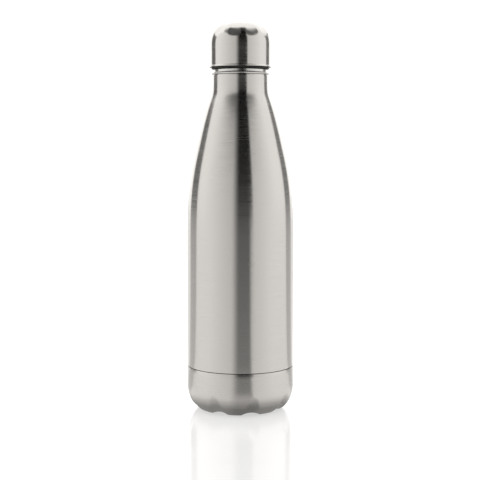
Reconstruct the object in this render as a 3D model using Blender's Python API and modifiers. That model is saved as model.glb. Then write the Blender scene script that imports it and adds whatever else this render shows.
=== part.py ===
import math

import bmesh
import bpy

# Driving dimensions in metres. The bottle stands on Z = 0, and every piece is turned about the Z axis.
HEIGHT = 0.258
SHEET = 0.0005            # thickness of the steel sheet
GAP = 0.0003              # clearance between neighbouring pieces
STEPS = 32                # sides of a round piece

BODY_R = 0.0355
FULL_WIDTH_Z = 0.1188     # the body has its full width from here down
SHOULDER_R = 0.0281       # the middle of the shoulder
SHOULDER_Z = 0.1803
SHOULDER_LEAN = math.radians(13.3)
SHOULDER_PULLS = (0.018, 0.038, 0.0176, 0.0322)   # how far each end of the two curves stays straight
NECK_R = 0.0186
NECK_STEP_Z = 0.2223      # the neck steps in above this, to go under the rolled mouth
NECK_TUCK = 0.0005
NECK_TOP = 0.2244
SEAM_Z = 0.0291           # top edge of the base cup
SHELL_END = 0.0162

CUP_R = 0.0357
CUP_ROUND_Z = 0.0176      # the base cup starts to round in here
FOOT_R = 0.0249           # outer edge of the foot
FOOT_INNER_R = 0.0225
FLOOR_R = 0.019
FLOOR_Z = 0.003           # underside of the recessed floor
LOBES = 8
GROOVE_TURN = math.radians(15)
GROOVE_HALF = math.radians(14)
GROOVE_TOP = math.radians(12)   # where a groove starts, as an angle round the cup's corner
GROOVE_DEPTH = 0.0012

LINER_R = 0.031
BORE_R = 0.0155
VACUUM_GAP = 0.0045       # from the outer shell's face to the liner's face on the drink's side
RIM_Z = 0.227
LINER_END = 0.034         # weld between liner and liner bottom
LINER_CORNER_Z = 0.027
LINER_FLOOR = 0.018
LINER_FLOOR_R = 0.021
THROAT_Z = 0.212          # the liner leaves the bore and follows the shoulder below this
HEM = [(0.01895, 0.2231), (0.01935, 0.22385), (0.01775, 0.2265), (0.0173, 0.2269)]   # rolled edge, from its tip
MOUTH = [(0.0165, RIM_Z), (0.0158, 0.2268), (BORE_R, 0.2262)]

HOLE_R = 0.0016           # the air is drawn out through it
VACUUM_BASE = [(0.033, 0.0152), (0.028, 0.0132), (0.010, 0.014), (HOLE_R, 0.0142)]
VACUUM_BASE_TOP = 0.023
VACUUM_BASE_BEND = 0.018
BEAD = [(0, 0.0152), (0.0013, 0.0152), (0.0013, 0.0139), (0.0032, 0.0139), (0.0026, 0.0129), (0, 0.0126)]

GETTER_PLACE = (0.016, 0, 0)
CLIP = [(0.0046, 0.0169), (0.0046, 0.01475), (0, 0.01475)]
CLIP_SHEET = 0.0004
PELLET_R = 0.0038
PELLET_LOW = 0.01545
PELLET_HIGH = 0.0167

BOND_R = 0.018
BOND_INNER_R = 0.013
BOND_LOW = 0.0038
BOND_HIGH = 0.0131

CAP_R = 0.02005
CAP_LIP_R = 0.0205
CAP_LIP_Z = 0.2284
CAP_WALL_TOP = 0.2384     # the dome starts here
CAP_CORNER_PULLS = (0.022, 0.0088)    # how far the crown and the wall stay straight
FLUTES = 10
FLUTE_TURN = math.radians(6.6)
FLUTE_HALF = math.radians(13)
FLUTE_LOW = 0.2475
FLUTE_HIGH = 0.2572
FLUTE_DEPTH = 0.0005

CORE_R = 0.0142           # stopper's core
CORE_END = 0.2095
CORE_ROUND = 0.0005
HOLLOW_R = 0.0122         # stopper's hollow, which holds the foam
HOLLOW_FLOOR = 0.2113
FLANGE_R = 0.0192
FLANGE_Z = 0.2286
DECK_Z = 0.2304
SKIRT_INNER_R = 0.0175
SKIRT_TOP = 0.240
PLUG_FOAM_TOP = 0.2298
LID_LOW = 0.2307
LID_HIGH = 0.2322
PAD_LOW = 0.2325
PAD = [(0, 0.2545), (0.010, 0.2540), (0.0158, 0.2500), (0.0171, 0.2460), (0.0171, PAD_LOW), (0, PAD_LOW)]

THREAD_LEAD = 0.006       # two starts, right-hand
THREAD_TURNS = 1.25
THREAD_Z = 0.2116
THREAD_START = math.radians(4)
THREAD_ROOT_HALF = 0.0008     # half the ridge's height at its root and at its crest
THREAD_CREST_HALF = 0.00035
MALE_CREST_R = CORE_R + 0.001
FEMALE_CREST_R = BORE_R - 0.001

SEAL_Z = 0.224            # stopper's O-ring
SEAL_R = 0.0144
SEAL_TUBE_R = 0.0008
SEAL_SIDES = 8
SEAL_GROOVE_R = 0.0133
SEAL_GROOVE_HALF = 0.0011
GASKET_R = 0.0191

FOIL_LOW = 0.040
FOIL_HIGH = 0.120
FOIL_SHEET = 0.0002
FOIL_WRAP = 350           # degrees

SMALL_STEPS = 16          # sides of the smallest pieces


def clear_scene():
    for old in list(bpy.data.objects):
        bpy.data.objects.remove(old, do_unlink=True)


def new_collection(name):
    collection = bpy.data.collections.new(name)
    bpy.context.scene.collection.children.link(collection)
    return collection


def make_material(name, color, roughness, metallic):
    material = bpy.data.materials.new(name)
    material.use_nodes = True
    shader = material.node_tree.nodes["Principled BSDF"]
    shader.inputs["Base Color"].default_value = (*color, 1)
    shader.inputs["Roughness"].default_value = roughness
    shader.inputs["Metallic"].default_value = metallic
    return material


def bezier(start, handle1, handle2, end, count):
    """Points along a cubic curve in the (radius, height) plane, both ends included."""
    points = []
    for i in range(count + 1):
        t = i / count
        weights = ((1 - t) ** 3, 3 * (1 - t) ** 2 * t, 3 * (1 - t) * t ** 2, t ** 3)
        points.append(tuple(sum(w * p[axis] for w, p in zip(weights, (start, handle1, handle2, end)))
                            for axis in (0, 1)))
    return points


def turned(name, profile, collection, steps=STEPS, closed=False, angle=360, rise=0):
    """A profile of (radius, height) points, turned about Z. It runs down the outer side."""
    mesh = bpy.data.meshes.new(name)
    edges = [(i, i + 1) for i in range(len(profile) - 1)]
    if closed:
        edges.append((len(profile) - 1, 0))
    mesh.from_pydata([(r, 0, z) for r, z in profile], edges, [])
    obj = bpy.data.objects.new(name, mesh)
    collection.objects.link(obj)
    screw = obj.modifiers.new("Turn", 'SCREW')
    screw.steps = steps
    screw.render_steps = steps
    screw.angle = math.radians(angle)
    screw.screw_offset = rise
    screw.use_merge_vertices = angle == 360
    screw.merge_threshold = 0.00001
    screw.use_smooth_shade = True
    return obj


def bake(obj):
    """Turns the object's modifiers into plain mesh."""
    graph = bpy.context.evaluated_depsgraph_get()
    mesh = bpy.data.meshes.new_from_object(obj.evaluated_get(graph))
    obj.modifiers.clear()
    obj.data = mesh


def sheet(obj, side, thickness=SHEET):
    """Gives an open surface its thickness: -1 to the inside of it, 1 to the outside."""
    solidify = obj.modifiers.new("Sheet", 'SOLIDIFY')
    solidify.thickness = thickness
    solidify.offset = side
    solidify.use_even_offset = True


def finish(obj, material, parent=None):
    obj.data.materials.clear()
    obj.data.materials.append(material)
    obj.parent = parent


def shoulder(inset=0.0, count=6):
    """The body's side from neck to full diameter, moved in by inset."""
    neck_pull, above_pull, below_pull, full_pull = SHOULDER_PULLS
    out, down = math.sin(SHOULDER_LEAN), -math.cos(SHOULDER_LEAN)
    middle = (SHOULDER_R, SHOULDER_Z)
    above = (SHOULDER_R - above_pull * out, SHOULDER_Z - above_pull * down)
    below = (SHOULDER_R + below_pull * out, SHOULDER_Z + below_pull * down)
    upper = bezier((NECK_R, NECK_STEP_Z), (NECK_R, NECK_STEP_Z - neck_pull), above, middle, count)
    lower = bezier(middle, below, (BODY_R, FULL_WIDTH_Z + full_pull), (BODY_R, FULL_WIDTH_Z), count)
    return [(r - inset, z) for r, z in upper + lower[1:]]


def thread_ridge(name, root_r, crest_r, z, start_angle, collection):
    """One start of a thread: a trapezoid section carried round and up a right-hand helix."""
    section = [(root_r, z - THREAD_ROOT_HALF), (root_r, z + THREAD_ROOT_HALF),
               (crest_r, z + THREAD_CREST_HALF), (crest_r, z - THREAD_CREST_HALF)]
    ridge = turned(name, section, collection, steps=round(STEPS * THREAD_TURNS), closed=True,
                   angle=360 * THREAD_TURNS, rise=THREAD_LEAD * THREAD_TURNS)
    bake(ridge)
    bm = bmesh.new()
    bm.from_mesh(ridge.data)
    bmesh.ops.remove_doubles(bm, verts=bm.verts, dist=0.000001)
    bmesh.ops.holes_fill(bm, edges=[e for e in bm.edges if e.is_boundary], sides=4)
    bmesh.ops.recalc_face_normals(bm, faces=bm.faces)
    bm.to_mesh(ridge.data)
    bm.free()
    ridge.rotation_euler.z = start_angle
    ridge.hide_render = True
    ridge.display_type = 'WIRE'
    return ridge


def add_thread(obj, root_r, crest_r, z, collection):
    for start in range(2):
        ridge = thread_ridge(f"{obj.name}_thread_{start + 1}", root_r, crest_r, z,
                             THREAD_START + start * math.pi, collection)
        ridge.parent = obj.parent
        union = obj.modifiers.new(f"Thread {start + 1}", 'BOOLEAN')
        union.operation = 'UNION'
        union.object = ridge


def groove_weight(angle, repeat, turn, half):
    """1 at the centre line of a groove, 0 at its edges and beyond."""
    period = 2 * math.pi / repeat
    offset = (angle - turn + period / 2) % period - period / 2
    return max(0.0, 1 - (offset / half) ** 2)


def make_outer_shell(collection):
    foot_r, tuck_r = CUP_R - SHEET - GAP, NECK_R - NECK_TUCK
    edge = 0.0005
    profile = [(NECK_R - edge, NECK_TOP), (tuck_r, NECK_TOP - edge), (tuck_r, NECK_STEP_Z + edge)]
    profile += shoulder()
    profile += [(BODY_R, SEAM_Z + 2 * edge), (foot_r, SEAM_Z + GAP), (foot_r, SHELL_END)]
    obj = turned("outer_shell", profile, collection)
    sheet(obj, -1)
    finish(obj, make_material("brushed_steel_body", (0.55, 0.53, 0.51), 0.3, 1))


def make_inner_liner(collection, cutters):
    side = [(max(r, BORE_R), z) for r, z in shoulder(VACUUM_GAP) if z < THROAT_Z]
    obj = turned("inner_liner", HEM + MOUTH + side + [(LINER_R, LINER_END)], collection)
    sheet(obj, 1)
    add_thread(obj, BORE_R + SHEET / 2, FEMALE_CREST_R, THREAD_Z + THREAD_LEAD / 4, cutters)
    finish(obj, make_material("liner_steel", (0.6, 0.58, 0.56), 0.35, 1))


def make_liner_bottom(collection):
    pull = 0.0055
    corner = bezier((LINER_R, LINER_CORNER_Z), (LINER_R, LINER_CORNER_Z - pull),
                    (LINER_FLOOR_R + pull, LINER_FLOOR), (LINER_FLOOR_R, LINER_FLOOR), 3)
    obj = turned("liner_bottom", [(LINER_R, LINER_END - GAP)] + corner + [(0, LINER_FLOOR)], collection)
    sheet(obj, 1)
    finish(obj, make_material("liner_bottom_steel", (0.6, 0.58, 0.56), 0.35, 1))


def make_copper_foil(collection):
    foil_r = LINER_R + SHEET + GAP
    obj = turned("copper_foil", [(foil_r, FOIL_HIGH), (foil_r, FOIL_LOW)], collection, angle=FOIL_WRAP)
    sheet(obj, 1, FOIL_SHEET)
    finish(obj, make_material("copper", (0.72, 0.36, 0.2), 0.3, 1))


def make_vacuum_base(collection):
    wall_r = CUP_R - 2 * (SHEET + GAP)
    wall = [(wall_r, VACUUM_BASE_TOP), (wall_r, VACUUM_BASE_BEND)]
    obj = turned("vacuum_base", wall + VACUUM_BASE, collection)
    sheet(obj, -1)
    finish(obj, make_material("vacuum_base_steel", (0.55, 0.54, 0.53), 0.4, 1))


def make_seal_bead(collection):
    obj = turned("seal_bead", BEAD, collection, steps=SMALL_STEPS)
    finish(obj, make_material("braze", (0.35, 0.33, 0.3), 0.5, 1))


def make_getter(collection):
    """The getter sits off the axis, beside the evacuation hole."""
    clip = turned("getter_clip", CLIP, collection, steps=SMALL_STEPS)
    sheet(clip, -1, CLIP_SHEET)
    clip.location = GETTER_PLACE
    finish(clip, make_material("getter_clip_steel", (0.5, 0.5, 0.5), 0.4, 1))
    profile = [(0, PELLET_HIGH), (PELLET_R, PELLET_HIGH), (PELLET_R, PELLET_LOW), (0, PELLET_LOW)]
    pellet = turned("getter_pellet", profile, collection, steps=SMALL_STEPS)
    pellet.location = GETTER_PLACE
    finish(pellet, make_material("getter", (0.15, 0.15, 0.16), 0.8, 0))


def groove_vertex(vertex):
    """Moves one vertex of the base cup into its groove: in along the corner's normal, and towards the axis."""
    x, y, z = vertex.co
    r = math.hypot(x, y)
    if z > CUP_ROUND_Z or r < FLOOR_R + 0.0001:
        return
    corner_w, corner_h = CUP_R - FOOT_R, CUP_ROUND_Z
    around = math.atan2((CUP_ROUND_Z - z) / corner_h, max(r - FOOT_R, 0) / corner_w)
    ramp = max(0.0, (around - GROOVE_TOP) / (math.pi / 2 - GROOVE_TOP))
    if r < FOOT_INNER_R - 0.0001:
        ramp = (r - FLOOR_R) / (FOOT_INNER_R - FLOOR_R)
    angle = math.atan2(y, x)
    depth = GROOVE_DEPTH * ramp * groove_weight(angle, LOBES, GROOVE_TURN, GROOVE_HALF)
    normal_r, normal_z = math.cos(around) * corner_h, -math.sin(around) * corner_w
    length = math.hypot(normal_r, normal_z)
    new_r = r - depth * normal_r / length - depth
    vertex.co = (x * new_r / r, y * new_r / r, z - depth * normal_z / length)


def make_base_cup(collection):
    profile = [(CUP_R, SEAM_Z), (CUP_R, CUP_ROUND_Z)]
    corner_steps = 6
    for i in range(1, corner_steps + 1):
        turn = math.pi / 2 * i / corner_steps
        profile.append((FOOT_R + (CUP_R - FOOT_R) * math.cos(turn), CUP_ROUND_Z * (1 - math.sin(turn))))
    halfway = ((FOOT_INNER_R + FLOOR_R) / 2, FLOOR_Z / 2)
    profile += [(FOOT_INNER_R, 0), halfway, (FLOOR_R, FLOOR_Z), (0, FLOOR_Z)]
    obj = turned("base_cup", profile, collection, steps=6 * LOBES)
    bake(obj)
    for vertex in obj.data.vertices:
        groove_vertex(vertex)
    sheet(obj, -1)
    finish(obj, make_material("brushed_steel_base", (0.55, 0.53, 0.51), 0.32, 1))


def make_base_bond_ring(collection):
    profile = [(BOND_R, BOND_HIGH), (BOND_R, BOND_LOW), (BOND_INNER_R, BOND_LOW), (BOND_INNER_R, BOND_HIGH)]
    obj = turned("base_bond_ring", profile, collection, steps=24, closed=True)
    finish(obj, make_material("adhesive", (0.75, 0.74, 0.7), 0.7, 0))


def make_mouth_gasket(collection, parent):
    """The seals rise with the cap but don't turn."""
    low, high = RIM_Z + GAP, FLANGE_Z - GAP
    inner_r = CORE_R + 0.0005
    profile = [(GASKET_R, high), (GASKET_R, low), (inner_r, low), (inner_r, high)]
    obj = turned("mouth_gasket", profile, collection, closed=True)
    finish(obj, make_material("gasket_silicone", (0.02, 0.02, 0.02), 0.6, 0), parent)


def make_plug_seal_ring(collection, parent):
    profile = []
    for i in range(SEAL_SIDES):
        turn = math.pi / 2 - 2 * math.pi * (i + 0.5) / SEAL_SIDES
        profile.append((SEAL_R + SEAL_TUBE_R * math.cos(turn), SEAL_Z + SEAL_TUBE_R * math.sin(turn)))
    obj = turned("plug_seal_ring", profile, collection, closed=True)
    finish(obj, make_material("seal_silicone", (0.05, 0.05, 0.05), 0.6, 0), parent)


def flute_vertex(vertex):
    """Presses the dome in along its flutes, which fade out at the wall and near the crown."""
    x, y, z = vertex.co
    r = math.hypot(x, y)
    if not FLUTE_LOW < z < FLUTE_HIGH or r < CAP_R / 20:
        return
    fade = math.sin(math.pi * (z - FLUTE_LOW) / (FLUTE_HIGH - FLUTE_LOW))
    depth = FLUTE_DEPTH * fade * groove_weight(math.atan2(y, x), FLUTES, FLUTE_TURN, FLUTE_HALF)
    inward = depth * math.sqrt(0.5)
    vertex.co = (x * (1 - inward / r), y * (1 - inward / r), z - inward)


def make_cap_shell(collection, parent):
    crown_pull, wall_pull = CAP_CORNER_PULLS
    dome = bezier((0, HEIGHT), (crown_pull, HEIGHT), (CAP_R, CAP_WALL_TOP + wall_pull),
                  (CAP_R, CAP_WALL_TOP), 7)
    flare = [(CAP_R, CAP_LIP_Z + 0.0012), (CAP_R + 0.0001, CAP_LIP_Z + 0.0006), (CAP_LIP_R, CAP_LIP_Z)]
    obj = turned("cap_shell", dome + flare, collection, steps=4 * FLUTES)
    bake(obj)
    for vertex in obj.data.vertices:
        flute_vertex(vertex)
    sheet(obj, -1)
    finish(obj, make_material("brushed_steel_cap", (0.58, 0.56, 0.54), 0.28, 1), parent)


def make_plug_body(collection, cutters, parent):
    inside = [(0, HOLLOW_FLOOR), (HOLLOW_R, HOLLOW_FLOOR), (HOLLOW_R, DECK_Z), (SKIRT_INNER_R, DECK_Z),
              (SKIRT_INNER_R, SKIRT_TOP)]
    outside = [(FLANGE_R, SKIRT_TOP), (FLANGE_R, FLANGE_Z), (CORE_R, FLANGE_Z)]
    groove_low, groove_high = SEAL_Z - SEAL_GROOVE_HALF, SEAL_Z + SEAL_GROOVE_HALF
    groove = [(CORE_R, groove_high), (SEAL_GROOVE_R, groove_high),
              (SEAL_GROOVE_R, groove_low), (CORE_R, groove_low)]
    end = [(CORE_R, CORE_END + CORE_ROUND), (CORE_R - CORE_ROUND, CORE_END), (0, CORE_END)]
    obj = turned("plug_body", inside + outside + groove + end, collection)
    obj.parent = parent
    add_thread(obj, CORE_R - GAP, MALE_CREST_R, THREAD_Z, cutters)
    finish(obj, make_material("plug_plastic", (0.03, 0.03, 0.03), 0.45, 0), parent)


def make_plug_fillings(collection, parent):
    foam_r, foam_low = HOLLOW_R - GAP, HOLLOW_FLOOR + GAP
    profile = [(0, PLUG_FOAM_TOP), (foam_r, PLUG_FOAM_TOP), (foam_r, foam_low), (0, foam_low)]
    foam = turned("plug_foam", profile, collection, steps=24)
    finish(foam, make_material("plug_foam", (0.85, 0.84, 0.8), 0.9, 0), parent)
    lid_r = SKIRT_INNER_R - GAP
    lid = turned("plug_lid", [(0, LID_HIGH), (lid_r, LID_HIGH), (lid_r, LID_LOW), (0, LID_LOW)], collection)
    finish(lid, make_material("lid_plastic", (0.05, 0.05, 0.05), 0.5, 0), parent)
    pad = turned("cap_foam", PAD, collection)
    finish(pad, make_material("cap_foam", (0.85, 0.84, 0.8), 0.9, 0), parent)


def make_axis(name, height, collection):
    """An empty on the bottle's axis, which the pieces of a moving body hang from."""
    axis = bpy.data.objects.new(name, None)
    axis.empty_display_type = 'SINGLE_ARROW'
    axis.empty_display_size = height
    collection.objects.link(axis)
    return axis


def main():
    clear_scene()
    bottle = new_collection("insulated_water_bottle")
    cutters = new_collection("thread_ridges")
    make_outer_shell(bottle)
    make_inner_liner(bottle, cutters)
    make_liner_bottom(bottle)
    make_copper_foil(bottle)
    make_vacuum_base(bottle)
    make_seal_bead(bottle)
    make_getter(bottle)
    make_base_cup(bottle)
    make_base_bond_ring(bottle)
    seals = make_axis("seal_axis", RIM_Z, bottle)
    make_mouth_gasket(bottle, seals)
    make_plug_seal_ring(bottle, seals)
    cap = make_axis("cap_axis", HEIGHT, bottle)
    cap.parent = seals
    make_cap_shell(bottle, cap)
    make_plug_body(bottle, cutters, cap)
    make_plug_fillings(bottle, cap)


main()
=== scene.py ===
import math

import bpy
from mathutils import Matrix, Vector


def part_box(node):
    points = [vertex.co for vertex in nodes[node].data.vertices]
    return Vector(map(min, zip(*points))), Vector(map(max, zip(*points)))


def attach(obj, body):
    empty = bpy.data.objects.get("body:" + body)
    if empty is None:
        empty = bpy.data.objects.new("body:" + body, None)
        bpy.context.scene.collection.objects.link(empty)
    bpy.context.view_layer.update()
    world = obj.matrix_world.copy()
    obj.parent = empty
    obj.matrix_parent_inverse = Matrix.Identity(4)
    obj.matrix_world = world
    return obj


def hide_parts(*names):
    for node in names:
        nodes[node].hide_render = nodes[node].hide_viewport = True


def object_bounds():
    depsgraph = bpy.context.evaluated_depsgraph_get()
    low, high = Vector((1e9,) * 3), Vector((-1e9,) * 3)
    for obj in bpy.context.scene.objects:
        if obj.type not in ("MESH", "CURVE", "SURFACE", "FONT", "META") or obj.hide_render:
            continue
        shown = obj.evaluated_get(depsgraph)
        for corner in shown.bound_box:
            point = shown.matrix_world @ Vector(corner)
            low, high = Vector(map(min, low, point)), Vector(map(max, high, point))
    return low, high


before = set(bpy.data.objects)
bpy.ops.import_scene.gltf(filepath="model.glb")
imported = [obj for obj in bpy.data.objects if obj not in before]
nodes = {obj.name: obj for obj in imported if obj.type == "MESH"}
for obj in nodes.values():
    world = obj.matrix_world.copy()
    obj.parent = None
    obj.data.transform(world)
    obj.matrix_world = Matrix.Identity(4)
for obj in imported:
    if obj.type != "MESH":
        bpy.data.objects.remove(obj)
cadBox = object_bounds()
sheet = 0.0005              # the steel, everywhere
mergeDistance = 0.000002


# modelling helpers

def curvePoints(start, handle1, handle2, end, count):
    corners = (start, handle1, handle2, end)
    points = []
    for i in range(count + 1):
        t = i / count
        u = 1 - t
        shares = (u ** 3, 3 * u * u * t, 3 * u * t * t, t ** 3)
        points.append(tuple(sum(s * c[axis] for s, c in zip(shares, corners)) for axis in (0, 1)))
    return points


def arcPoints(centre, radius, first, last, count):
    angles = [math.radians(first + (last - first) * i / count) for i in range(count + 1)]
    return [(centre[0] + radius * math.cos(a), centre[1] + radius * math.sin(a)) for a in angles]


def startPiece(name):
    # one point, ready to be drawn out
    bpy.ops.object.select_all(action='DESELECT')
    bpy.ops.mesh.primitive_plane_add(size=0.001)
    piece = bpy.context.object
    piece.name = name
    piece.data.name = name
    bpy.ops.object.mode_set(mode='EDIT')
    bpy.ops.mesh.select_all(action='SELECT')
    bpy.ops.mesh.merge(type='CENTER')
    return piece


def turnProfile(name, profile, segments=192, loop=False):
    # draws the profile out point by point at +X, then spins it round the bottle's axis
    piece = startPiece(name)
    path = profile + profile[:1] if loop else profile
    bpy.ops.transform.translate(value=(path[0][0], 0, path[0][1]))
    for here, there in zip(path, path[1:]):
        step = (there[0] - here[0], 0, there[1] - here[1])
        bpy.ops.mesh.extrude_vertices_move(TRANSFORM_OT_translate={"value": step})
    bpy.ops.mesh.select_all(action='SELECT')
    bpy.ops.mesh.remove_doubles(threshold=mergeDistance)
    bpy.ops.mesh.spin(steps=segments, angle=2 * math.pi, center=(0, 0, 0), axis=(0, 0, 1))
    bpy.ops.mesh.select_all(action='SELECT')
    bpy.ops.mesh.remove_doubles(threshold=mergeDistance)
    bpy.ops.mesh.normals_make_consistent(inside=False)
    bpy.ops.object.mode_set(mode='OBJECT')
    return piece


def wallProfile(points, thickness):
    # the path of a bent sheet: along its face, and back at its thickness. On the way down, a positive
    # thickness goes towards the axis
    back = []
    for i, point in enumerate(points):
        before = points[max(i - 1, 0)]
        after = points[min(i + 1, len(points) - 1)]
        sides = []
        for a, b in ((before, point), (point, after)):
            d = Vector((b[0] - a[0], b[1] - a[1]))
            if d.length > 0:
                d.normalize()
                sides.append(Vector((d.y, -d.x)))
        mitre = sum(sides, Vector((0, 0)))
        mitre *= thickness * len(sides) / mitre.dot(mitre)
        back.append((max(point[0] + mitre.x, 0), point[1] + mitre.y))
    return points + back[::-1]


def giveWall(piece, thickness):
    # an open surface, facing out, gets its sheet on the inside and a softened cut edge
    wall = piece.modifiers.new("wall", 'SOLIDIFY')
    wall.thickness = thickness
    wall.offset = -1
    wall.use_even_offset = True
    bpy.ops.object.modifier_apply(modifier=wall.name)
    edge = piece.modifiers.new("edge", 'BEVEL')
    edge.width = thickness * 0.2
    edge.segments = 2
    edge.limit_method = 'ANGLE'
    edge.angle_limit = math.radians(60)
    bpy.ops.object.modifier_apply(modifier=edge.name)


def makeActive(piece):
    bpy.ops.object.select_all(action='DESELECT')
    piece.select_set(True)
    bpy.context.view_layer.objects.active = piece


def finishPiece(piece, material, body, node, smooth=35):
    makeActive(piece)
    bpy.ops.object.shade_smooth_by_angle(angle=math.radians(smooth))
    piece.data.materials.clear()
    piece.data.materials.append(material)
    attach(piece, body)
    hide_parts(node)


def dentWeight(angle, repeat, turn, half):
    # 1 along the middle of a dent, 0 at its edges and beyond
    period = 2 * math.pi / repeat
    offset = (angle - turn + period / 2) % period - period / 2
    return max(0.0, 1 - (offset / half) ** 2)


# shader helpers

def newGroup(name, inputs, outputs):
    group = bpy.data.node_groups.new(name, 'ShaderNodeTree')
    for label, value in inputs.items():
        socket = group.interface.new_socket(label, in_out='INPUT', socket_type='NodeSocketFloat')
        socket.default_value = value
    for label in outputs:
        group.interface.new_socket(label, in_out='OUTPUT', socket_type='NodeSocketFloat')
    return group


def addMath(tree, operation, first, second=None):
    node = tree.nodes.new('ShaderNodeMath')
    node.operation = operation
    for socket, value in zip(node.inputs, (first, second)):
        if value is None:
            continue
        if isinstance(value, (int, float)):
            socket.default_value = value
        else:
            tree.links.new(value, socket)
    return node.outputs[0]


def addRange(tree, value, low, high, toLow, toHigh, kind='LINEAR'):
    node = tree.nodes.new('ShaderNodeMapRange')
    node.interpolation_type = kind
    for label, number in (("From Min", low), ("From Max", high), ("To Min", toLow), ("To Max", toHigh)):
        if isinstance(number, (int, float)):
            node.inputs[label].default_value = number
        else:
            tree.links.new(number, node.inputs[label])
    tree.links.new(value, node.inputs["Value"])
    return node.outputs["Result"]


def addRadius(tree, x, y):
    squares = addMath(tree, 'ADD', addMath(tree, 'MULTIPLY', x, x), addMath(tree, 'MULTIPLY', y, y))
    return addMath(tree, 'SQRT', squares)


def addPlace(tree, kind):
    place = tree.nodes.new('ShaderNodeTexCoord')
    split = tree.nodes.new('ShaderNodeSeparateXYZ')
    tree.links.new(place.outputs[kind], split.inputs[0])
    return split.outputs


def addTint(tree, factor, color, spread):
    # the color, a little darker and lighter by turns
    mix = tree.nodes.new('ShaderNodeMix')
    mix.data_type = 'RGBA'
    mix.inputs["A"].default_value = (*[c * (1 - spread) for c in color], 1)
    mix.inputs["B"].default_value = (*[min(c * (1 + spread), 1) for c in color], 1)
    tree.links.new(factor, mix.inputs["Factor"])
    return mix.outputs["Result"]


def addBump(tree, height, strength, depth):
    bump = tree.nodes.new('ShaderNodeBump')
    bump.inputs["Strength"].default_value = strength
    bump.inputs["Distance"].default_value = depth
    tree.links.new(height, bump.inputs["Height"])
    return bump.outputs["Normal"]


def newMaterial(name, color, roughness, metallic=0.0):
    material = bpy.data.materials.new(name)
    material.use_nodes = True
    shader = material.node_tree.nodes["Principled BSDF"]
    shader.inputs["Base Color"].default_value = (*color, 1)
    shader.inputs["Roughness"].default_value = roughness
    shader.inputs["Metallic"].default_value = metallic
    return material, material.node_tree, shader


noiseLow, noiseHigh = 0.3, 0.7      # where most of a noise's values lie

# each layer's noise: how dense round the bottle and up and down it, and its detail
brushLayers = {"Lines": (50, 2400, 2), "Bands": (30, 1000, 2), "Clouds": (28, 40, 3)}
brushLook = {"lines": 0.6, "bands": 0.4, "tint": 0.06, "rough": 0.09, "clouds": 0.01, "bump": 0.5,
             "depth": 0.00001}
speckleLook = {"rough": 0.06, "bump": 0.3}


def buildBrushedGroup(layers):
    # hairlines that run round the bottle. They differ by height, and by radius where the surface lies flat
    group = newGroup("brushedLines", {"Lean": -1.0, "Fine": 1.0}, ("Lines", "Bands", "Clouds"))
    ins, outs = group.nodes.new('NodeGroupInput'), group.nodes.new('NodeGroupOutput')
    x, y, z = addPlace(group, "Object")
    lean = addMath(group, 'MULTIPLY', addRadius(group, x, y), ins.outputs["Lean"])
    along = addMath(group, 'ADD', z, lean)
    for label, (around, down, detail) in layers.items():
        fine = addMath(group, 'MULTIPLY', ins.outputs["Fine"], down)
        join = group.nodes.new('ShaderNodeCombineXYZ')
        group.links.new(addMath(group, 'MULTIPLY', x, around), join.inputs[0])
        group.links.new(addMath(group, 'MULTIPLY', y, around), join.inputs[1])
        group.links.new(addMath(group, 'MULTIPLY', along, fine), join.inputs[2])
        noise = group.nodes.new('ShaderNodeTexNoise')
        noise.inputs["Scale"].default_value = 1
        noise.inputs["Detail"].default_value = detail
        group.links.new(join.outputs[0], noise.inputs["Vector"])
        group.links.new(noise.outputs["Fac"], outs.inputs[label])
    return group


def brushedSteel(name, group, color, roughness, lean, fine=1.0, stretch=0.85):
    material, tree, shader = newMaterial(name, color, roughness, 1.0)
    lines = tree.nodes.new('ShaderNodeGroup')
    lines.node_tree = group
    lines.inputs["Lean"].default_value = lean
    lines.inputs["Fine"].default_value = fine
    grain = addMath(tree, 'ADD', addMath(tree, 'MULTIPLY', lines.outputs["Lines"], brushLook["lines"]),
                    addMath(tree, 'MULTIPLY', lines.outputs["Bands"], brushLook["bands"]))
    tree.links.new(addTint(tree, grain, color, brushLook["tint"]), shader.inputs["Base Color"])
    spread, clouds = brushLook["rough"], brushLook["clouds"]
    fineRough = addRange(tree, grain, noiseLow, noiseHigh, roughness - spread, roughness + spread)
    cloudRough = addRange(tree, lines.outputs["Clouds"], noiseLow, noiseHigh, -clouds, clouds)
    tree.links.new(addMath(tree, 'ADD', fineRough, cloudRough), shader.inputs["Roughness"])
    tree.links.new(addBump(tree, grain, brushLook["bump"], brushLook["depth"]), shader.inputs["Normal"])
    shader.inputs["Anisotropic"].default_value = stretch
    shader.inputs["Anisotropic Rotation"].default_value = 0.25     # the lines run round the axis
    return material


def buildSpeckleGroup():
    # an even, shapeless unevenness for cast, moulded and foamed surfaces
    group = newGroup("speckle", {"Scale": 400.0, "Detail": 4.0}, ("Value",))
    ins, outs = group.nodes.new('NodeGroupInput'), group.nodes.new('NodeGroupOutput')
    place = group.nodes.new('ShaderNodeTexCoord')
    noise = group.nodes.new('ShaderNodeTexNoise')
    group.links.new(place.outputs["Object"], noise.inputs["Vector"])
    group.links.new(ins.outputs["Scale"], noise.inputs["Scale"])
    group.links.new(ins.outputs["Detail"], noise.inputs["Detail"])
    group.links.new(noise.outputs["Fac"], outs.inputs["Value"])
    return group


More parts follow.
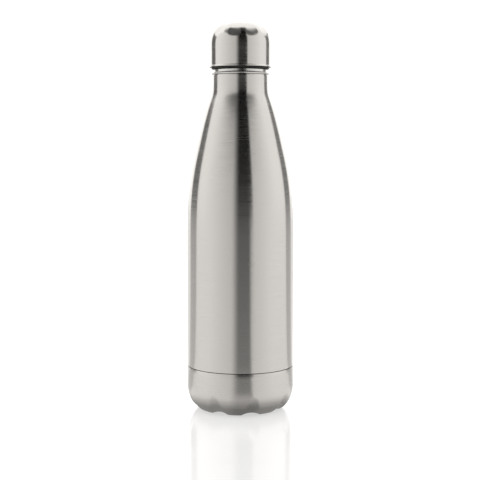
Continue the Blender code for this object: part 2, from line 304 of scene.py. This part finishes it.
def speckled(name, group, color, roughness, scale, contrast, bumpDepth, metallic=0.0):
    material, tree, shader = newMaterial(name, color, roughness, metallic)
    speckle = tree.nodes.new('ShaderNodeGroup')
    speckle.node_tree = group
    speckle.inputs["Scale"].default_value = scale
    grain, spread = speckle.outputs["Value"], speckleLook["rough"]
    tree.links.new(addTint(tree, grain, color, contrast), shader.inputs["Base Color"])
    tree.links.new(addRange(tree, grain, noiseLow, noiseHigh, roughness - spread, roughness + spread),
                   shader.inputs["Roughness"])
    tree.links.new(addBump(tree, grain, speckleLook["bump"], bumpDepth), shader.inputs["Normal"])
    return material


brushed = buildBrushedGroup(brushLayers)
speckle = buildSpeckleGroup()
steelColor = (0.62, 0.605, 0.585)
bodySteel = brushedSteel("brushedBody", brushed, steelColor, 0.2, -1.0, stretch=0.92)
cupSteel = brushedSteel("brushedBase", brushed, steelColor, 0.22, 1.0, stretch=0.85)
capSteel = brushedSteel("brushedCap", brushed, steelColor, 0.16, -1.0, stretch=0.75)
linerSteel = brushedSteel("satinLiner", brushed, (0.66, 0.65, 0.63), 0.25, -1.0, 0.5, 0.5)
blackPlastic = speckled("blackPolypropylene", speckle, (0.018, 0.018, 0.019), 0.42, 900, 0.25, 0.00002)
blackSilicone = speckled("blackSilicone", speckle, (0.012, 0.012, 0.012), 0.6, 1400, 0.2, 0.00001)
print("materials made")


# body shell

shellLow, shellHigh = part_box("outer_shell")
cupLow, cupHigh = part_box("base_cup")

bodyShape = {
    "radius": shellHigh.x,
    "neckRadius": 0.0186,
    "neckLow": 0.2223,          # the shoulder starts here
    "tuck": 0.0005,             # how far the neck steps in under the mouth
    "tuckHeight": 0.2232,
    "neckTop": 0.2238,
    "soften": 0.0002,           # at the step and at the edges of the sheet
    "middle": (0.0281, 0.1803),
    "lean": 13.3,               # slope of the shoulder at its middle, degrees from upright
    "fullHeight": 0.1188,       # full width from here down
    "neckPull": 0.018,          # how far each end of the shoulder's two curves stays straight
    "middlePulls": (0.038, 0.0176),
    "fullPull": 0.0322,
    "straightRows": (0.1, 0.08, 0.06, 0.045, 0.035),
    "seam": cupHigh.z,
    "seamRound": 0.0003,        # the edge above the seam
    "footRadius": 0.0349,
    "footRow": 0.022,
}


def bodySide(shape, inset=0.0, count=28):
    middle = shape["middle"]
    lean = math.radians(shape["lean"])
    down = (math.sin(lean), -math.cos(lean))
    neck = (shape["neckRadius"], shape["neckLow"])
    full = (shape["radius"], shape["fullHeight"])
    above, below = shape["middlePulls"]
    upper = curvePoints(neck, (neck[0], neck[1] - shape["neckPull"]),
                        (middle[0] - above * down[0], middle[1] - above * down[1]), middle, count)
    lower = curvePoints(middle, (middle[0] + below * down[0], middle[1] + below * down[1]),
                        (full[0], full[1] + shape["fullPull"]), full, count)
    return [(r - inset, z) for r, z in upper + lower[1:]]


def makeBodyShell(shape):
    neck, foot = shape["neckRadius"], shape["footRadius"]
    tucked = neck - shape["tuck"]
    end, step, soften = shape["neckTop"], shape["tuckHeight"], shape["soften"]
    top = [(tucked - soften, end), (tucked, end - soften), (tucked, step + soften), (neck - soften / 2, step),
           (neck, step - soften)]
    straight = [(shape["radius"], z) for z in shape["straightRows"]]
    corner = shape["seamRound"]
    turnIn = arcPoints((shape["radius"] - corner, shape["seam"] + 2 * corner), corner, 0, -80, 5)
    bottom = [(foot, z) for z in (shape["seam"] + soften, shape["footRow"], shellLow.z)]
    piece = turnProfile("bodyShell", top + bodySide(shape) + straight + turnIn + bottom)
    giveWall(piece, sheet)
    finishPiece(piece, bodySteel, "bottle", "outer_shell")


makeBodyShell(bodyShape)
print("body shell made")


# base cup

cupShape = {
    "radius": cupHigh.x,
    "wallRows": (cupHigh.z, 0.0255, 0.023, 0.020),
    "roundHeight": 0.0176,      # the corner starts here
    "cornerSteps": 36,
    "footRadius": 0.0249,
    "footRows": (0.0241, 0.0233),
    "footInner": 0.0225,
    "rise": (0.0212, 0.0205),   # the pulls of the curve from the foot up to the recessed floor
    "floorRadius": 0.019,
    "floorRow": 0.010,
    "floorHeight": 0.003,
    "lobes": 8,
    "turn": 15,                 # degrees to the first groove
    "half": 15.5,               # half a groove's width in degrees, at the foot
    "tip": 0.25,                # the width of its upper end, as a share of that
    "start": 12,                # where a groove starts, in degrees round the corner
    "depth": 0.0015,
}


def pressGrooves(piece, shape):
    wide, tall = shape["radius"] - shape["footRadius"], shape["roundHeight"]
    start, half = math.radians(shape["start"]), math.radians(shape["half"])
    for vertex in piece.data.vertices:
        x, y, z = vertex.co
        r = math.hypot(x, y)
        if z > tall or r < shape["floorRadius"]:
            continue
        around = math.atan2((tall - z) / tall, max(r - shape["footRadius"], 0) / wide)
        ramp = max(0.0, (around - start) / (math.pi / 2 - start))
        if r < shape["footInner"]:
            ramp = (r - shape["floorRadius"]) / (shape["footInner"] - shape["floorRadius"])
        width = half * (shape["tip"] + (1 - shape["tip"]) * ramp)
        weight = dentWeight(math.atan2(y, x), shape["lobes"], math.radians(shape["turn"]), width)
        depth = shape["depth"] * ramp * weight
        out = Vector((math.cos(around) * tall, -math.sin(around) * wide)).normalized()
        newRadius = r - depth * out.x - depth
        vertex.co = (x * newRadius / r, y * newRadius / r, z - depth * out.y)


def makeBaseCup(shape):
    foot, tall, steps = shape["footRadius"], shape["roundHeight"], shape["cornerSteps"]
    wall = [(shape["radius"], z) for z in shape["wallRows"]]
    corner = []
    for i in range(steps + 1):
        angle = math.pi / 2 * i / steps
        corner.append((foot + (shape["radius"] - foot) * math.cos(angle), tall * (1 - math.sin(angle))))
    pad = [(r, 0) for r in shape["footRows"]]
    low, high = shape["rise"]
    floor = shape["floorHeight"]
    rise = curvePoints((shape["footInner"], 0), (low, 0), (high, floor), (shape["floorRadius"], floor), 8)
    middle = [(shape["floorRow"], floor), (0, floor)]
    piece = turnProfile("baseCup", wall + corner + pad + rise + middle, segments=32 * shape["lobes"])
    pressGrooves(piece, shape)
    giveWall(piece, sheet)
    finishPiece(piece, cupSteel, "bottle", "base_cup", 25)


makeBaseCup(cupShape)
print("base cup made")


# liner and mouth

linerLow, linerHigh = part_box("inner_liner")

linerShape = {
    "bore": 0.0155,
    "boreRows": (0.2225, 0.2115),
    "boreLow": 0.2105,          # the liner follows the shoulder from here
    "rim": linerHigh.z,
    "hemTip": [(0.0188, 0.2238), (0.01905, 0.2241), (0.01908, 0.2244)],
    "hemCurve": [(0.01895, 0.22455), (0.0182, 0.2246), (0.0179, 0.2248), (0.0178, 0.2264)],
    "rollStart": (0.0178, 0.2267),
    "rollEnd": 0.2258,
    "wallGap": 0.0045,          # from the body's face to the liner's
    "end": linerLow.z,
    "threadLow": 0.2131,
    "threadCrest": 0.0145,
}

threadShape = {"lead": 0.006, "turns": 1.25, "start": 4, "rootHalf": 0.0008, "crestHalf": 0.00035,
               "round": 0.00012}


def makeThread(shape, root, crest, low, startNumber):
    # one start of the thread: a square drawn into a trapezoid section, then screwed round the axis
    bpy.ops.object.select_all(action='DESELECT')
    bpy.ops.mesh.primitive_plane_add(size=1)
    ridge = bpy.context.object
    ridge.name = f"ridge{startNumber}"
    corners = {(-1, -1): (root, -shape["rootHalf"]), (-1, 1): (root, shape["rootHalf"]),
               (1, -1): (crest, -shape["crestHalf"]), (1, 1): (crest, shape["crestHalf"])}
    for vertex in ridge.data.vertices:
        r, dz = corners[(round(vertex.co.x * 2), round(vertex.co.y * 2))]
        vertex.co = (r, 0, low + dz)
    bpy.ops.object.mode_set(mode='EDIT')
    bpy.ops.mesh.select_all(action='SELECT')
    bpy.ops.mesh.bevel(offset=shape["round"], segments=2, affect='VERTICES')
    bpy.ops.mesh.select_all(action='SELECT')
    bpy.ops.mesh.delete(type='ONLY_FACE')
    bpy.ops.object.mode_set(mode='OBJECT')
    screw = ridge.modifiers.new("screw", 'SCREW')
    screw.angle = 2 * math.pi * shape["turns"]
    screw.screw_offset = shape["lead"] * shape["turns"]
    screw.steps = round(128 * shape["turns"])
    screw.render_steps = screw.steps
    screw.use_merge_vertices = False
    bpy.ops.object.modifier_apply(modifier=screw.name)
    ridge.rotation_euler.z = math.radians(shape["start"]) + startNumber * math.pi
    bpy.ops.object.transform_apply(location=True, rotation=True, scale=True)
    bpy.ops.object.mode_set(mode='EDIT')
    bpy.ops.mesh.select_all(action='SELECT')
    bpy.ops.mesh.remove_doubles(threshold=mergeDistance)
    bpy.ops.mesh.fill_holes(sides=0)
    bpy.ops.mesh.select_all(action='SELECT')
    bpy.ops.mesh.normals_make_consistent(inside=False)
    bpy.ops.object.mode_set(mode='OBJECT')
    return ridge


def addThread(piece, shape, root, crest, low):
    for startNumber in range(2):
        ridge = makeThread(shape, root, crest, low, startNumber)
        makeActive(piece)
        union = piece.modifiers.new("thread", 'BOOLEAN')
        union.operation = 'UNION'
        union.object = ridge
        bpy.ops.object.modifier_apply(modifier=union.name)
        bpy.data.objects.remove(ridge, do_unlink=True)


def makeLiner(shape):
    bore, rim, rollStart = shape["bore"], shape["rim"], shape["rollStart"]
    hem = shape["hemTip"] + curvePoints(*shape["hemCurve"], 10)
    roll = curvePoints(rollStart, (rollStart[0], rim), (bore, rim), (bore, shape["rollEnd"]), 12)
    straight = [(bore, z) for z in shape["boreRows"]]
    side = [(max(r, bore), z) for r, z in bodySide(bodyShape, shape["wallGap"], 14) if z < shape["boreLow"]]
    face = hem + roll + straight + side + [(bodyShape["radius"] - shape["wallGap"], shape["end"])]
    piece = turnProfile("drinkLiner", wallProfile(face, -sheet), segments=160, loop=True)
    addThread(piece, threadShape, bore + sheet / 2, shape["threadCrest"], shape["threadLow"])
    finishPiece(piece, linerSteel, "bottle", "inner_liner")


makeLiner(linerShape)
print("liner made")


# seals

gasketLow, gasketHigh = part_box("mouth_gasket")
ringLow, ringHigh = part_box("plug_seal_ring")

gasketShape = {"outer": gasketHigh.x, "inner": 0.0147, "corner": 0.00025}


def roundedRing(low, high, inner, outer, corner):
    path = []
    for r, z, first in ((outer - corner, high - corner, 90), (outer - corner, low + corner, 0),
                        (inner + corner, low + corner, -90), (inner + corner, high - corner, -180)):
        path += arcPoints((r, z), corner, first, first - 90, 4)
    return path


def makeSeals(shape):
    path = roundedRing(gasketLow.z, gasketHigh.z, shape["inner"], shape["outer"], shape["corner"])
    gasket = turnProfile("mouthGasket", path, segments=160, loop=True)
    finishPiece(gasket, blackSilicone, "cap_seals", "mouth_gasket", 50)
    tube = (ringHigh.z - ringLow.z) / 2 / math.cos(math.pi / 8)
    path = arcPoints((ringHigh.x - tube, (ringLow.z + ringHigh.z) / 2), tube, 90, -270, 20)[:-1]
    ring = turnProfile("sealRing", path, segments=160, loop=True)
    finishPiece(ring, blackSilicone, "cap_seals", "plug_seal_ring", 50)


makeSeals(gasketShape)
print("seals made")


# cap

capLow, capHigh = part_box("cap_shell")

capShape = {
    "radius": 0.02005,
    "top": capHigh.z,
    "crownWidth": 0.022,        # how far the flat of the crown carries outwards
    "wallTop": 0.2384,
    "roundness": 0.0088,        # how far the wall carries up into the dome
    "wallRows": (0.2355, 0.2325),
    "lipRadius": capHigh.x,
    "lip": capLow.z + 0.0003,
    "flareRows": (0.0016, 0.0014, 0.0008),      # where the lip starts to flare, above its edge
    "flareEnd": (0.0009, 0.0005),
    "flutes": 10,
    "fluteTurn": 6.6,
    "fluteHalf": 13,            # half a flute's width, in degrees
    "fluteLow": 0.2475,
    "fluteHigh": 0.2572,
    "fluteDepth": 0.00035,      # inwards, and as much down
}


def pressFlutes(piece, shape):
    low, high = shape["fluteLow"], shape["fluteHigh"]
    for vertex in piece.data.vertices:
        x, y, z = vertex.co
        r = math.hypot(x, y)
        if not low < z < high or r < 0.001:
            continue
        fade = math.sin(math.pi * (z - low) / (high - low))
        wave = dentWeight(math.atan2(y, x), shape["flutes"], math.radians(shape["fluteTurn"]),
                          math.radians(shape["fluteHalf"]))
        depth = shape["fluteDepth"] * fade * wave
        vertex.co = (x * (1 - depth / r), y * (1 - depth / r), z - depth)


def makeCapShell(shape):
    radius, top, lip, wide = shape["radius"], shape["top"], shape["lip"], shape["lipRadius"]
    dome = curvePoints((0, top), (shape["crownWidth"], top), (radius, shape["wallTop"] + shape["roundness"]),
                       (radius, shape["wallTop"]), 40)
    low, start, pull = shape["flareRows"]
    endPull, end = shape["flareEnd"]
    wall = [(radius, z) for z in (*shape["wallRows"], lip + low)]
    flare = curvePoints((radius, lip + start), (radius, lip + pull), (wide - 0.0001, lip + endPull),
                        (wide, lip + end), 8)
    piece = turnProfile("capShell", dome + wall + flare + [(wide, lip)], segments=24 * shape["flutes"])
    pressFlutes(piece, shape)
    giveWall(piece, sheet)
    finishPiece(piece, capSteel, "cap", "cap_shell")


makeCapShell(capShape)
print("cap shell made")


# stopper

plugLow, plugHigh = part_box("plug_body")

plugShape = {
    "core": 0.0142,
    "hollow": 0.0122,
    "hollowFloor": 0.2113,
    "flange": 0.0192,
    "flangeLow": 0.2286,
    "deck": 0.2304,
    "skirtInner": 0.0175,
    "grooveRadius": 0.0133,
    "grooveHalf": 0.0011,
    "threadLow": 0.2116,
    "threadCrest": 0.0152,
    "threadRoot": 0.0139,
    "edge": 0.0003,             # how the edges are broken or rounded
    "fillet": 0.0004,
    "grooveEdge": 0.0001,
    "endRound": 0.0008,
    "dish": (0.0118, 0.0112),   # the dish in the stopper's end
    "recess": 0.0006,
}


def makePlug(shape):
    core, flange, sealMiddle = shape["core"], shape["flange"], (ringLow.z + ringHigh.z) / 2
    hollow, skirtInner, deck = shape["hollow"], shape["skirtInner"], shape["deck"]
    inside = [(0, shape["hollowFloor"]), (hollow, shape["hollowFloor"]), (hollow, deck), (skirtInner, deck),
              (skirtInner, plugHigh.z)]
    edge, bend, nick, turn = shape["edge"], shape["fillet"], shape["grooveEdge"], shape["endRound"]
    skirt = [(flange - edge, plugHigh.z), (flange, plugHigh.z - edge)]
    under = arcPoints((flange - bend, shape["flangeLow"] + bend), bend, 0, -90, 4)
    fillet = arcPoints((core + bend, shape["flangeLow"] - bend), bend, 90, 180, 4)
    grooveTop, grooveLow = sealMiddle + shape["grooveHalf"], sealMiddle - shape["grooveHalf"]
    groove = [(core, grooveTop + nick), (core - nick, grooveTop), (shape["grooveRadius"], grooveTop),
              (shape["grooveRadius"], grooveLow), (core - nick, grooveLow), (core, grooveLow - nick)]
    end = arcPoints((core - turn, plugLow.z + turn), turn, 0, -90, 6)
    outer, inner = shape["dish"]
    dish = [(outer, plugLow.z), (inner, plugLow.z + shape["recess"]), (0, plugLow.z + shape["recess"])]
    piece = turnProfile("stopper", inside + skirt + under + fillet + groove + end + dish, segments=160)
    addThread(piece, threadShape, shape["threadRoot"], shape["threadCrest"], shape["threadLow"])
    finishPiece(piece, blackPlastic, "cap", "plug_body")


makePlug(plugShape)
print("stopper made")


# hidden pieces keep their solids and get their finish

hiddenFinish = {
    "liner_bottom": brushedSteel("linerBottom", brushed, (0.66, 0.65, 0.63), 0.3, 1.0, 0.5, 0.5),
    "vacuum_base": brushedSteel("vacuumBase", brushed, (0.55, 0.54, 0.53), 0.4, 1.0, 0.5, 0.4),
    "getter_clip": speckled("getterClip", speckle, (0.5, 0.5, 0.5), 0.35, 500, 0.1, 0.00001, 1.0),
    "copper_foil": speckled("copperFoil", speckle, (0.72, 0.38, 0.22), 0.25, 120, 0.12, 0.00006, 1.0),
    "seal_bead": speckled("brazeBead", speckle, (0.35, 0.33, 0.3), 0.5, 700, 0.25, 0.00004, 1.0),
    "getter_pellet": speckled("getterPowder", speckle, (0.16, 0.16, 0.17), 0.85, 2500, 0.4, 0.00004),
    "base_bond_ring": speckled("curedAdhesive", speckle, (0.75, 0.74, 0.7), 0.5, 200, 0.06, 0.00005),
    "plug_lid": blackPlastic,
    "plug_foam": speckled("plugFoam", speckle, (0.86, 0.85, 0.82), 0.9, 1800, 0.12, 0.0001),
    "cap_foam": speckled("capFoam", speckle, (0.84, 0.83, 0.8), 0.9, 1500, 0.12, 0.0001),
}
for nodeName, material in hiddenFinish.items():
    node = nodes[nodeName]
    node.data.materials.clear()
    node.data.materials.append(material)
print("hidden pieces finished")


# floor, light and camera

studio = {
    # bearings from the front, in degrees
    "gapLeft": -11, "gapRight": 27,         # the dark gap between the light boxes
    # the gap's right edge in the table's painted reflection
    "gapOnTable": 21,                       # its right edge as the table mirrors it
    "softLeft": 9, "softRight": 3,          # how softly each box ends there
    "boxLeft": 109, "boxRight": 116,        # dark flags start here, at the far sides of the boxes
    "backLeft": 138, "backRight": 142,      # the backdrop starts here
    "boxSoft": 2, "backSoft": 3,
    "glowFrom": (10, 88),                   # a box gets brighter between these
    "ceilingFrom": (62, 118),
    "farFrom": (156, 168),
    # heights in degrees
    "boxTop": 29, "boxSlope": 0.15, "topSoft": 4,
    "flagTop": 24, "flagSoft": 3,
    "darkFrom": (5, 18),
    "backFrom": (22, 32),
    "backTop": 75,                          # the backdrop reaches over the bottle to here
    # brightness
    "nearLight": 0.64, "farLight": 1.14,    # a light box, next to the gap and at its far side
    "dark": 0.035, "darkAbove": 0.004,      # the gap, level with the bottle and higher up
    "flagLeft": 0.18, "flagRight": 0.25, "flagOnTable": 0.55,
    "backdrop": 1.4,
    "ceiling": 0.12,                        # how much of the light goes on above the boxes, in front
    "fill": 1.15,                           # what lights everything but the mirror images
    "warm": (1, 0.985, 0.965, 1),
    # the painted light that the table adds to its painted reflection, and the distances from the axis that it
    # changes at
    "paintedLightBeside": 0.65, "paintedLightNear": 0.3, "paintedLightFar": 0.14,
    "besideReach": (0.04, 0.1), "tableReach": (0.2, 1.4),
    # painted shade beside the foot, and the distances from the axis that it spans
    "paintedFootShade": 0.34, "footReach": (0.034, 0.054),     # what is left of it right beside the foot
    "farTable": 0.3,                        # the table's far end, behind the bottle
    "floorRadius": 6, "floorColor": (0.42, 0.42, 0.42), "floorGlow": 0.5,
}


def addStep(tree, value, middle, soft, low=0, high=1):
    return addRange(tree, value, middle - soft, middle + soft, low, high, 'SMOOTHSTEP')


def buildStudioGroup(values):
    # the studio's walls, by bearing from the front: two tall light boxes, dark flags at the sides, a white
    # backdrop
    inputs = {"Bearing": 0.0, "Gap Right": 20.0, "Dark": 0.0, "Flag": 0.2}
    group = newGroup("studioWalls", inputs, ("Level",))
    ins, outs = group.nodes.new('NodeGroupInput'), group.nodes.new('NodeGroupOutput')
    bearing, edge = ins.outputs["Bearing"], ins.outputs["Gap Right"]
    away = addMath(group, 'ABSOLUTE', bearing)
    soft = values["softRight"]
    edgeStart, edgeEnd = addMath(group, 'SUBTRACT', edge, soft), addMath(group, 'ADD', edge, soft)
    right = addRange(group, bearing, edgeStart, edgeEnd, 0, 1, 'SMOOTHSTEP')
    left = addStep(group, bearing, values["gapLeft"], values["softLeft"], 1, 0)
    glow = addRange(group, away, *values["glowFrom"], values["nearLight"], values["farLight"])
    level = addRange(group, addMath(group, 'MAXIMUM', left, right), 0, 1, ins.outputs["Dark"], glow)
    boxOuter = addRange(group, bearing, -1, 1, values["boxLeft"], values["boxRight"])
    flagged = addStep(group, addMath(group, 'SUBTRACT', away, boxOuter), 0, values["boxSoft"])
    level = addRange(group, flagged, 0, 1, level, ins.outputs["Flag"])
    backEdge = addRange(group, bearing, -1, 1, values["backLeft"], values["backRight"])
    behind = addStep(group, addMath(group, 'SUBTRACT', away, backEdge), 0, values["backSoft"])
    group.links.new(addRange(group, behind, 0, 1, level, values["backdrop"]), outs.inputs["Level"])
    return group


def addWalls(tree, group, x, y, gapRight, dark, flag):
    walls = tree.nodes.new('ShaderNodeGroup')
    walls.node_tree = group
    angle = addMath(tree, 'ARCTAN2', x, addMath(tree, 'MULTIPLY', y, -1))
    bearing = addMath(tree, 'MULTIPLY', angle, 180 / math.pi)
    tree.links.new(bearing, walls.inputs["Bearing"])
    for label, value in (("Gap Right", gapRight), ("Dark", dark), ("Flag", flag)):
        if isinstance(value, (int, float)):
            walls.inputs[label].default_value = value
        else:
            tree.links.new(value, walls.inputs[label])
    return walls.outputs["Level"], addMath(tree, 'ABSOLUTE', bearing)


def makeFloor(values, walls):
    bpy.ops.object.select_all(action='DESELECT')
    bpy.ops.mesh.primitive_circle_add(vertices=64, radius=values["floorRadius"], fill_type='NGON',
                                      location=(0, 0, cadBox[0].z))
    floor = bpy.context.object
    floor.name = "studioFloor"
    bpy.ops.object.transform_apply(location=True, rotation=True, scale=True)
    # lit from below like a light table, so nothing on it casts a hard shadow. To the steel it shows a painted
    # reflection of the studio's walls, with painted light that fades with distance from the axis and painted
    # shade right beside the foot
    material, tree, shader = newMaterial("whiteTablePaintedReflection", values["floorColor"], 0.1)
    shader.inputs["Emission Color"].default_value = (1, 1, 1, 1)
    shader.inputs["Emission Strength"].default_value = values["floorGlow"]
    x, y, z = addPlace(tree, "Object")
    level, away = addWalls(tree, walls, x, y, values["gapOnTable"], 0.0, values["flagOnTable"])
    level = addRange(tree, away, *values["farFrom"], level, values["farTable"])
    distance = addRadius(tree, x, y)
    # painted light on the table's painted reflection: brighter beside the bottle, fading with distance from
    # the axis
    beside = addRange(tree, distance, *values["besideReach"], values["paintedLightBeside"], values["paintedLightNear"])
    white = addRange(tree, distance, *values["tableReach"], beside, values["paintedLightFar"])
    # painted shade: the painted reflection darkened right beside the foot
    foot = addRange(tree, distance, *values["footReach"], values["paintedFootShade"], 1)
    strength = addMath(tree, 'MULTIPLY', foot, addRange(tree, level, 0, 1, white, 1))
    # the painted reflection: what glossy rays see on the table in place of a real mirror image
    paintedReflection = tree.nodes.new('ShaderNodeEmission')
    paintedReflection.inputs["Color"].default_value = values["warm"]
    tree.links.new(strength, paintedReflection.inputs["Strength"])
    mix = tree.nodes.new('ShaderNodeMixShader')
    paths = tree.nodes.new('ShaderNodeLightPath')
    tree.links.new(paths.outputs["Is Glossy Ray"], mix.inputs["Fac"])
    tree.links.new(shader.outputs["BSDF"], mix.inputs[1])
    tree.links.new(paintedReflection.outputs["Emission"], mix.inputs[2])
    tree.links.new(mix.outputs["Shader"], tree.nodes["Material Output"].inputs["Surface"])
    floor.data.materials.append(material)


def makeLight(values, walls):
    world = bpy.data.worlds.new("studioLight")
    bpy.context.scene.world = world
    world.use_nodes = True
    tree = world.node_tree
    background = tree.nodes["Background"]
    background.inputs["Color"].default_value = values["warm"]
    x, y, z = addPlace(tree, "Generated")
    height = addMath(tree, 'MULTIPLY', addMath(tree, 'ARCSINE', z), 180 / math.pi)
    dark = addRange(tree, height, *values["darkFrom"], values["dark"], values["darkAbove"])
    flag = addRange(tree, x, -0.1, 0.1, values["flagLeft"], values["flagRight"])
    flag = addStep(tree, height, values["flagTop"], values["flagSoft"], flag, values["backdrop"])
    level, away = addWalls(tree, walls, x, y, values["gapRight"], dark, flag)
    boxTop = addMath(tree, 'ADD', addMath(tree, 'MULTIPLY', away, values["boxSlope"]), values["boxTop"])
    over = addStep(tree, addMath(tree, 'SUBTRACT', height, boxTop), 0, values["topSoft"])
    ceiling = addRange(tree, away, *values["ceilingFrom"], values["ceiling"], 1, 'SMOOTHSTEP')
    level = addRange(tree, over, 0, 1, level, addMath(tree, 'MULTIPLY', level, ceiling))
    behind = addStep(tree, y, math.cos(math.radians(values["backTop"])), 0.05)
    above = addRange(tree, height, *values["backFrom"], 0, 1, 'SMOOTHSTEP')
    level = addRange(tree, addMath(tree, 'MULTIPLY', behind, above), 0, 1, level, values["backdrop"])
    paths = tree.nodes.new('ShaderNodeLightPath')
    level = addRange(tree, paths.outputs["Is Glossy Ray"], 0, 1, values["fill"], level)
    tree.links.new(level, background.inputs["Strength"])


cameraPlace = {"side": -0.0002, "distance": 0.768, "height": 0.175, "tilt": 4.57, "lens": 86.05,
               "sensor": 36}


def makeCamera(values):
    data = bpy.data.cameras.new("mainCamera")
    camera = bpy.data.objects.new("mainCamera", data)
    bpy.context.scene.collection.objects.link(camera)
    data.lens = values["lens"]
    data.sensor_width = values["sensor"]
    camera.location = (values["side"], -values["distance"], values["height"])
    camera.rotation_euler = (math.radians(90 - values["tilt"]), 0, 0)
    bpy.context.scene.camera = camera


studioWalls = buildStudioGroup(studio)
makeFloor(studio, studioWalls)
makeLight(studio, studioWalls)
makeCamera(cameraPlace)
bpy.context.scene.view_settings.view_transform = 'Standard'
print("studio made")
